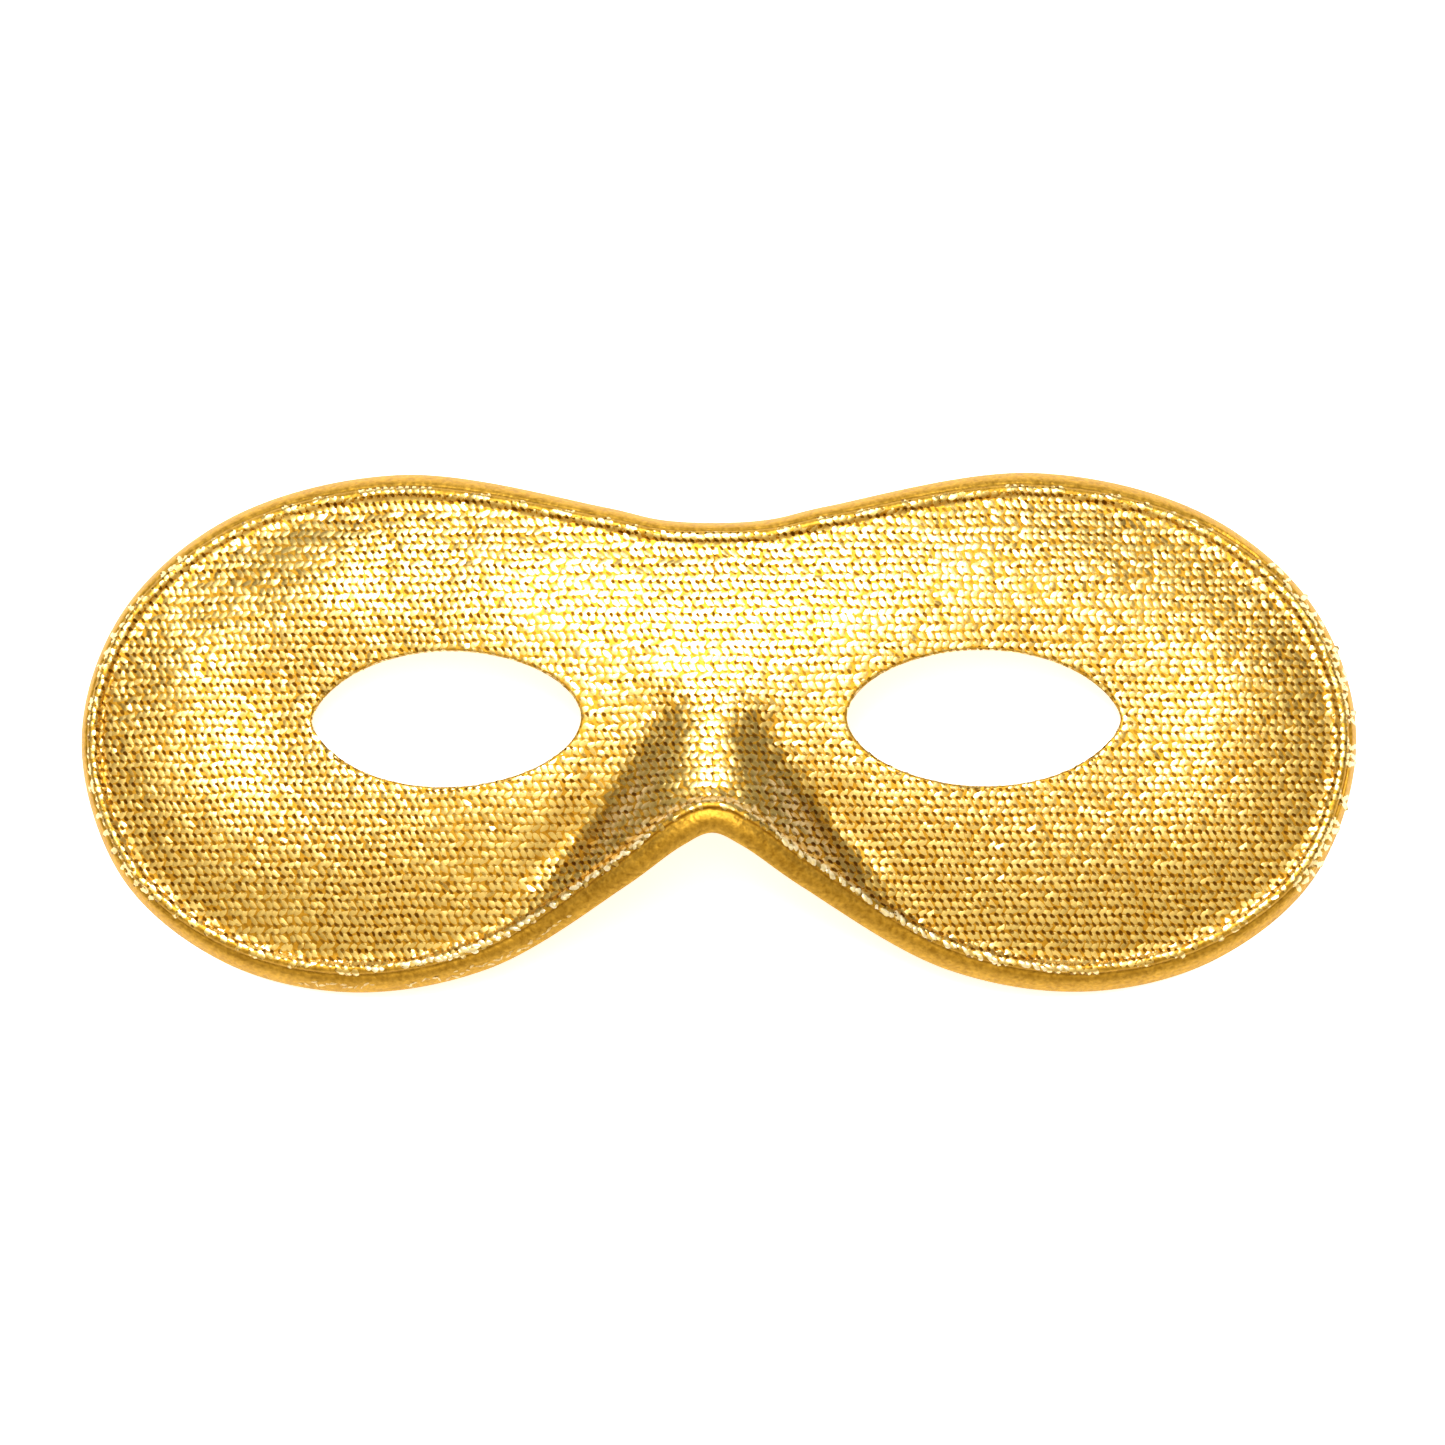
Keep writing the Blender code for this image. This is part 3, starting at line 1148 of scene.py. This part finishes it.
@dataclass
class RimCover:
    """The corded rim: foot, flared skirt and bead under the same knit, as one closed ring."""

    form: MaskForm
    jersey: Jersey
    name: str = "rim_cover"
    stations: int = 1000
    skirt_steps: int = 9
    bead_steps: int = 12
    pucker_depth: float = 0.05 * MM
    pucker_length: float = 1.7 * MM
    pucker_seed: int = 11
    skirt_pucker: float = 0.3
    bead_smoothing: float = 0.5
    foot_crowding: float = 1.4
    hidden_edge: tuple[float, float] = (1.6, 0.8)
    inner_foot: tuple[float, float] = (0.45, 0.42)

    def build(self) -> bpy.types.Object:
        """Build the ring round the whole outline.

        Returns:
            The finished piece.
        """
        form = self.form
        along = np.linspace(0.0, 2 * form.along[-1], self.stations, endpoint=False)
        place, inward, reach = form.around(along)
        section = self._section(reach, SKIRT_CREASE.at(place[:, 0], place[:, 1]))
        pucker = Swell(self.pucker_seed, self.pucker_length).at(along, np.zeros(len(along)))
        rings = []
        for inset, height, tight in section:
            flat = place + inward * inset[:, None]
            lift = height + tight * self.pucker_depth * pucker
            rings.append(np.column_stack([flat, form.bed(flat[:, 0], flat[:, 1]) + lift]))
        points = np.concatenate(rings)
        faces = [face[::-1] for face in ring_faces(len(rings), len(place), close_rings=True)]
        rim = mesh_object(self.name, points, faces)
        for finish in (SkirtFinish(), GroundFinish()):
            rim.data.materials.append(finish.material())
        first_bead = (self.skirt_steps + 1 + self.bead_steps // 2) * len(place)
        for polygon in rim.data.polygons:
            polygon.material_index = int(min(polygon.vertices) >= first_bead)
        self.jersey.mark(rim, points[:, 0], points[:, 1])
        return rim

    def _section(self, reach: Array, creased: Array) -> list[tuple[Array, Array, float]]:
        """Section of the rim from its outer foot over the bead.

        Args:
            reach: The skirt's reach at every station.
            creased: Depth of the crease between skirt and bead at every station.

        Returns:
            One row for each ring: inset, height and share of the puckers.
        """
        form = self.form
        rows = []
        for step in range(self.skirt_steps + 1):
            share = step / self.skirt_steps
            crowded = share ** self.foot_crowding
            inset = reach * crowded
            height = form.skirt(np.full(len(reach), crowded))
            if step == self.skirt_steps - 1:
                height = height - creased
            rows.append((inset, height, self.skirt_pucker * share))
        for step in range(1, self.bead_steps + 1):
            angle = math.pi * (1.0 - step / self.bead_steps)
            inset = reach + form.bead_radius * (1.0 + math.cos(angle))
            height = np.full(len(reach), form.bead_height + form.bead_radius * math.sin(angle))
            rows.append((inset, height, 1.0 - self.bead_smoothing * step / self.bead_steps))
        inset_share, drop_share = self.hidden_edge
        height = np.full(len(reach), form.bead_height - form.bead_radius * drop_share)
        rows.append((reach + form.bead_radius * inset_share, height, 0.0))
        inset_share, height_share = self.inner_foot
        height = np.full(len(reach), height_share * form.bead_height)
        rows.append((form.foot_width + inset_share * reach, height, 0.0))
        rows.append((np.full(len(reach), form.foot_width), np.zeros(len(reach)), 0.0))
        return rows


class Leg(Enum):
    """The two legs of a stitch, which meet at its tip."""

    UPPER = 1.0
    LOWER = -1.0


@dataclass
class Yarn:
    """Short raised stretches of foil-faced yarn, each with a ridge along its middle and low edges."""

    field: FabricField
    sink: float = 0.015 * MM
    blunt: float = 0.45
    sway: float = 0.05
    end_share: float = 0.04
    end_blunt: float = 0.6
    ridge_sink: float = 0.6
    rows: int = 5

    def _template(self) -> list[tuple[float, float]]:
        """Spread points over one stretch.

        Returns:
            Share of its length and share of half its width, by point.
        """
        shares = [(row + 0.5) / self.rows for row in range(self.rows)]
        inner = [(share, across) for share in shares for across in (-1.0, 0.0, 1.0)]
        return [(0.0, 0.0)] + inner + [(1.0, 0.0)]

    def lay(self, start: Array, end: Array, width: Array, thick: Array, lean: Array) -> Array:
        """Lay stretches of yarn on the mask.

        Args:
            start: Flat places where the stretches start, one row each.
            end: Flat places where they end.
            width: Their widths.
            thick: How far their ridges stand off the fabric.
            lean: Two slopes for each stretch, along it and across it.

        Returns:
            Points of every stretch, with the axes stretch, point and coordinate.
        """
        line = end - start
        length = np.linalg.norm(line, axis=1)
        side = np.stack([-line[:, 1], line[:, 0]], axis=1) / length[:, None]
        template = self._template()
        flat = np.empty((len(start), len(template), 2))
        lift = np.empty((len(start), len(template)))
        for index, (share, across) in enumerate(template):
            leaf = math.sin(math.pi * share) ** self.blunt
            within = share * (1.0 - 2.0 * self.end_share) + self.end_share
            body = math.sin(math.pi * within) ** self.end_blunt
            offset = width * (0.5 * across * leaf + self.sway * math.sin(math.tau * share))
            flat[:, index] = start + line * share + side * offset[:, None]
            leaned = lean[:, 0] * length * (share - 0.5) + lean[:, 1] * width * 0.5 * across
            ridge = 1.0 - abs(across)
            sunk = self.sink * (1.0 - self.ridge_sink * ridge)
            lift[:, index] = (thick * ridge + leaned) * body - sunk
        return self.field.drape(flat[..., 0], flat[..., 1], lift)

    def lay_along(
        self,
        middle: Array,
        inward: Array,
        turn: Array,
        half: Array,
        width: Array,
        thick: Array,
        lean: Array,
    ) -> Array:
        """Lay stretches of yarn along the outline.

        Args:
            middle: Flat places of their middles, one row each.
            inward: Inward directions of the outline there.
            turn: Angles by which they turn off the outline.
            half: Half their lengths.
            width: Their widths.
            thick: How far their ridges stand off the fabric.
            lean: Two slopes for each stretch, along it and across it.

        Returns:
            Points of every stretch, with the axes stretch, point and coordinate.
        """
        forward = np.stack([-inward[:, 1], inward[:, 0]], axis=1)
        line = (forward * np.cos(turn)[:, None] + inward * np.sin(turn)[:, None]) * half[:, None]
        return self.lay(middle - line, middle + line, width, thick, lean)

    def piece(self, name: str, points: Array, material: bpy.types.Material) -> bpy.types.Object:
        """Make one object of many stretches of yarn.

        Args:
            name: The piece's name.
            points: Points of every stretch, as lay gives them.
            material: The yarn's material.

        Returns:
            The new object.
        """
        last = 1 + 3 * self.rows
        one = [(0, 2, 1), (0, 3, 2), (last - 3, last - 2, last), (last - 2, last - 1, last)]
        for row in range(self.rows - 1):
            for near in (1 + 3 * row, 2 + 3 * row):
                one.append((near, near + 1, near + 4, near + 3))
        size = last + 1
        firsts = range(0, len(points) * size, size)
        faces = [tuple(first + corner for corner in face) for first in firsts for face in one]
        made = mesh_object(name, points.reshape(-1, 3), faces)
        made.data.materials.append(material)
        return made


@dataclass
class KnitStitches:
    """The jersey's face: rows of chevron stitches that run across the mask, each of two raised legs."""

    form: MaskForm
    field: FabricField
    jersey: Jersey
    width: float = 1.00 * MM
    thickness: float = 0.070 * MM
    lean: float = 0.10
    jitter: float = 0.02 * MM
    seed: int = 7
    root: tuple[float, float] = (-0.80, 0.94)
    tip: tuple[float, float] = (0.28, 0.10)
    width_spread: float = 0.05
    thickness_spread: float = 0.2
    eye_overlap: float = 0.5 * MM
    rim_top: float = 1.15
    rim_low: float = 0.35 * MM
    bare_depth: float = 0.25 * MM
    bare_span: tuple[float, float] = (-0.45, 0.15)
    temple: float = math.radians(34)
    temple_raggedness: float = 0.12
    raggedness_length: float = 9.0 * MM
    left_inset: float = 0.95 * MM
    right_inset: float = 0.30 * MM

    def build(self, material: bpy.types.Material) -> list[bpy.types.Object]:
        """Build the stitches of the front and those that wrap the bead and, at the temples, the skirt.

        Args:
            material: The yarn's material.

        Returns:
            The two pieces, the front's first.
        """
        start, end = self._legs()
        random = np.random.RandomState(self.seed + 4)
        count = len(start)
        width = self.width * random.normal(1.0, self.width_spread, count)
        thick = self.thickness * random.normal(1.0, self.thickness_spread, count)
        lean = random.normal(0.0, self.lean, (count, 2))
        middle = (start + end) / 2
        x, y = middle[:, 0], middle[:, 1]
        reach = self.field.sample(self.field.reach, x, y)
        past = self.field.sample(self.field.inset, x, y) - reach
        eye = self.field.sample(self.field.eye, x, y)
        top = self.rim_top * self.form.bead_radius
        front = (eye > -self.eye_overlap) & (past > top)
        outer, inner = (share * reach for share in self.bare_span)
        bare = (SKIRT_CREASE.at(x, y) > self.bare_depth) & (past > outer) & (past < inner)
        rim = (past <= top) & ((past > self.rim_low) | self._knit_temple(x, y)) & ~bare
        yarn = Yarn(self.field)
        made = []
        for name, chosen in (("front_stitches", front), ("rim_stitches", rim)):
            points = yarn.lay(start[chosen], end[chosen], width[chosen], thick[chosen], lean[chosen])
            piece = yarn.piece(name, points, material)
            self.jersey.mark(piece, points[..., 0], points[..., 1])
            made.append(piece)
        return made

    def _knit_temple(self, x: Array, y: Array) -> Array:
        """Find the two temples, where the knit is not drawn smooth over the skirt.

        Args:
            x: Places across.
            y: Places up.

        Returns:
            True where the skirt carries stitches.
        """
        turn = np.arctan2(np.abs(y), np.abs(x) - 0.5 * self.form.half_width)
        ragged = Swell(self.seed + 5, self.raggedness_length).at(x, y) * self.temple_raggedness
        bare = np.where(x < 0.0, self.left_inset, self.right_inset)
        return (turn + ragged < self.temple) & (self.field.sample(self.field.inset, x, y) > bare)

    def _legs(self) -> tuple[Array, Array]:
        """Place every leg, after the cloth is stretched over the form.

        Returns:
            Starts and ends of the legs, one row each.
        """
        form, course, half_wale = self.form, self.jersey.course, self.jersey.half_wale
        columns = np.arange(-form.half_width, form.half_width, course)
        rows = np.arange(-form.half_height, form.half_height, 2 * half_wale)
        tip_x, tip_y = (grid.ravel() for grid in np.meshgrid(columns, rows))
        starts, ends = [], []
        for leg in Leg:
            starts.append(self._leg_end(tip_x, tip_y, self.root, leg))
            ends.append(self._leg_end(tip_x, tip_y, self.tip, leg))
        random = np.random.RandomState(self.seed)
        start, end = (self.jersey.stretched(np.vstack(part)) for part in (starts, ends))
        start += random.normal(0.0, self.jitter, start.shape)
        end += random.normal(0.0, self.jitter, end.shape)
        middle = (start + end) / 2
        near = self.field.sample(self.field.inset, middle[:, 0], middle[:, 1]) > 0.0
        return start[near], end[near]

    def _leg_end(self, x: Array, y: Array, offset: tuple[float, float], leg: Leg) -> Array:
        """Places of one end of a leg, off the stitch's middle by shares of a course and half a wale."""
        along, across = offset[0] * self.jersey.course, leg.value * offset[1] * self.jersey.half_wale
        return np.stack([x + along, y + across], axis=1)


@dataclass
class BeadKnots:
    """Stitches that the cord pushes up: uneven knots in a row along the top of the bead, given a
    near-white finish as a painted highlight.
    """

    form: MaskForm
    field: FabricField
    spacing: float = 1.05 * MM
    length: float = 1.25 * MM
    width: float = 0.85 * MM
    thickness: float = 0.20 * MM
    lean: float = 0.22
    slant: float = 0.30
    seed: int = 23
    shift: float = 0.35
    inset_share: tuple[float, float] = (0.82, 0.16)
    length_share: tuple[float, float] = (0.6, 1.35)
    turn_spread: float = 0.22
    width_share: tuple[float, float] = (0.7, 1.15)
    thickness_share: tuple[float, float] = (0.6, 1.3)
    beside_notch: tuple[float, float] = (0.10, 0.55)
    fullness: float = 1.25

    def build(self, material: bpy.types.Material) -> bpy.types.Object:
        """Build the knots on both sides of the nose notch.

        Args:
            material: The knots' material.

        Returns:
            The finished piece.
        """
        form = self.form
        total = 2 * form.along[-1]
        random = np.random.RandomState(self.seed)
        count = int(total / self.spacing)
        at = (np.arange(count) + random.uniform(-self.shift, self.shift, count)) * (total / count)
        place, inward, reach = form.around(at)
        inset = reach + form.bead_radius * random.normal(*self.inset_share, count)
        middle = place + inward * inset[:, None]
        half = self.length / 2 * random.uniform(*self.length_share, count)
        turn = random.normal(self.slant, self.turn_spread, count)
        width = self.width * random.uniform(*self.width_share, count)
        thick = self.thickness * random.uniform(*self.thickness_share, count)
        lean = random.normal(0.0, self.lean, (count, 2))
        share = np.abs(middle[:, 0]) / form.half_width
        low, high = self.beside_notch
        beside = (middle[:, 1] < 0.0) & (share > low) & (share < high)
        kept = beside & (random.uniform(0.0, 1.0, count) < self.fullness - share)
        yarn = Yarn(self.field, sink=0.03 * MM)
        points = yarn.lay_along(middle, inward, turn, half, width, thick, lean)
        return yarn.piece("bead_knots", points[kept], material)


@dataclass
class HemTufts:
    """Bits of the raw hem that look out from under the rim along the lower edge."""

    form: MaskForm
    field: FabricField
    spans: tuple[tuple[float, float], ...] = ((-0.65, -0.53), (-0.48, -0.22))
    spacing: float = 0.80 * MM
    length: float = 1.3 * MM
    width: float = 0.36 * MM
    thickness: float = 0.12 * MM
    seed: int = 31
    shift: float = 0.3
    inset: tuple[float, float] = (0.35 * MM, 1.15 * MM)
    turn_spread: float = 0.35
    length_share: tuple[float, float] = (0.5, 1.2)
    width_share: tuple[float, float] = (0.6, 1.2)
    thickness_share: tuple[float, float] = (0.6, 1.3)
    lean: float = 0.2

    def build(self, material: bpy.types.Material) -> bpy.types.Object:
        """Build the tufts of every span.

        Args:
            material: The tufts' material.

        Returns:
            The finished piece.
        """
        form = self.form
        random = np.random.RandomState(self.seed)
        low = np.flatnonzero(form.place[:, 1] < 0.0)
        order = low[np.argsort(form.place[low, 0])]
        ends = np.array(self.spans) * form.half_width
        x = np.concatenate([np.arange(low_x, high_x, self.spacing) for low_x, high_x in ends])
        count = len(x)
        x += random.normal(0.0, self.shift * self.spacing, count)
        index = np.clip(np.searchsorted(form.place[order, 0], np.abs(x)), 0, len(order) - 1)
        flip = np.stack([np.where(x < 0.0, -1.0, 1.0), np.ones(count)], axis=1)
        place, inward = form.place[order[index]] * flip, form.inward[order[index]] * flip
        middle = place + inward * random.uniform(*self.inset, count)[:, None]
        turn = random.normal(0.0, self.turn_spread, count)
        half = self.length / 2 * random.uniform(*self.length_share, count)
        width = self.width * random.uniform(*self.width_share, count)
        thick = self.thickness * random.uniform(*self.thickness_share, count)
        lean = random.normal(0.0, self.lean, (count, 2))
        yarn = Yarn(self.field, sink=0.05 * MM, blunt=0.5)
        points = yarn.lay_along(middle, inward, turn, half, width, thick, lean)
        return yarn.piece("hem_tufts", points, material)


@dataclass(frozen=True)
class SoftBox:
    """A rectangular soft light that faces the mask."""

    name: str
    place: tuple[float, float, float]
    size: tuple[float, float]
    power: float

    def build(self) -> None:
        """Put the light in the scene."""
        light = bpy.data.lights.new(self.name, "AREA")
        light.shape = "RECTANGLE"
        light.size, light.size_y = self.size
        light.energy = self.power
        lamp = add_object(self.name, light)
        lamp.location = self.place
        lamp.rotation_euler = (-Vector(self.place)).to_track_quat("-Z", "Y").to_euler()


@dataclass
class Studio:
    """Pale floor, soft lights and the camera."""

    form: MaskForm
    distance: float = 1.1
    pitch: float = 3.5
    yaw: float = 2.0
    view_width: float = 1445 / 1275 * 0.1789
    aim_x: float = 0.9 * MM
    aim_y: float = 1.2 * MM
    aim_z: float = 6.0 * MM
    sensor: float = 36.0
    floor_half: float = 6.0
    lights: tuple[SoftBox, ...] = (
        SoftBox(name="key", place=(0.0, 0.42, 1.22), size=(0.60, 0.90), power=8.5),
        SoftBox(name="core", place=(-0.12, 0.52, 1.15), size=(0.40, 0.40), power=13.0),
    )
    zenith: tuple[float, float, float] = (0.0, -0.42, 0.95)
    sky: tuple[tuple[float, tuple[float, ...]], ...] = (
        (0.20, (0.02, 0.010, 0.002, 1.0)),
        (0.45, (0.06, 0.035, 0.01, 1.0)),
        (0.65, (0.32, 0.21, 0.06, 1.0)),
        (0.84, (0.60, 0.45, 0.17, 1.0)),
        (0.98, (0.88, 0.74, 0.35, 1.0)),
    )
    backdrop: tuple[float, ...] = (0.93, 0.93, 0.93, 1.0)

    def build(self) -> None:
        """Build everything round the mask."""
        self._floor()
        for light in self.lights:
            light.build()
        self._surroundings()
        self._camera()
        bpy.context.scene.view_settings.view_transform = "Standard"

    def _floor(self) -> None:
        """Pale floor, with its edge far outside every view."""
        signs = [(-1.0, -1.0, 0.0), (1.0, -1.0, 0.0), (1.0, 1.0, 0.0), (-1.0, 1.0, 0.0)]
        corners = np.array(signs) * self.floor_half
        floor = mesh_object("floor", corners, [(0, 1, 2, 3)], smooth=False)
        floor.data.materials.append(FloorFinish().material())

    def _surroundings(self) -> None:
        """A studio that is light above and dim at the horizon, and plain and pale behind the mask."""
        sky = SkySheet("studio")
        place = sky.node("ShaderNodeTexCoord", {}, {}, "Generated")
        inputs = {0: place, 1: self.zenith}
        height = sky.node("ShaderNodeVectorMath", {"operation": "DOT_PRODUCT"}, inputs, "Value")
        glow = sky.node("ShaderNodeValToRGB", {"stops": self.sky}, {0: height}, "Color")
        seen = sky.node("ShaderNodeLightPath", {}, {}, "Is Camera Ray")
        sky.surface({"Color": sky.mix_colour(seen, glow, self.backdrop)})

    def _camera(self) -> None:
        """Long lens above the mask, a little from the chin's side and from the right."""
        data = bpy.data.cameras.new("camera")
        data.sensor_width = self.sensor
        data.lens = self.sensor * self.distance / self.view_width
        camera = add_object("camera", data)
        pitch, yaw = math.radians(self.pitch), math.radians(self.yaw)
        target = Vector((self.aim_x, self.aim_y, self.aim_z))
        back = Vector((math.sin(yaw), -math.sin(pitch), math.cos(pitch) * math.cos(yaw))).normalized()
        camera.location = target + back * self.distance
        camera.rotation_euler = (pitch, yaw, 0.0)
        bpy.context.scene.camera = camera


def dress(piece: bpy.types.Object) -> None:
    """Let a piece move with the mask.

    Args:
        piece: The piece.
    """
    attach(piece, BODY)
    LOG.info("%s: %d faces", piece.name, len(piece.data.polygons))


def main() -> None:
    """Build the mask's pieces and the studio."""
    logging.basicConfig(level=logging.INFO, format="%(message)s")
    low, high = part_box("rim_roll")
    form = MaskForm(half_width=(high.x - low.x) / 2, half_height=(high.y - low.y) / 2)
    field = FabricField(form)
    jersey = Jersey(form)
    front = FrontCover(form, field, jersey).build()
    rim = RimCover(form, jersey).build()
    stitch = StitchFinish().material()
    front_stitches, rim_stitches = KnitStitches(form, field, jersey).build(stitch)
    # Knots coloured near white and made less metallic: a painted highlight along the top of the bead.
    knot = StitchFinish(
        name="lame_knot_painted_highlight",
        pale=(1.0, 0.92, 0.66, 1.0),
        deep=(1.0, 0.78, 0.32, 1.0),
        opening_shade=0.0,
        roughness=0.42,
        metallic=0.4,
    )
    frayed = StitchFinish(
        name="lame_frayed",
        pale=(1.0, 0.80, 0.36, 1.0),
        deep=(0.55, 0.30, 0.03, 1.0),
        opening_shade=0.0,
        roughness=0.55,
        metallic=0.6,
        coat=0.3,
    )
    knots = BeadKnots(form, field).build(knot.material())
    tufts = HemTufts(form, field).build(frayed.material())
    for piece in (front, front_stitches):
        dress(piece)
    for piece in (rim, rim_stitches, knots, tufts):
        dress(piece)
    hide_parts("face_shell")
    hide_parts("rim_roll")
    Studio(form).build()


if __name__ == "__main__":
    main()
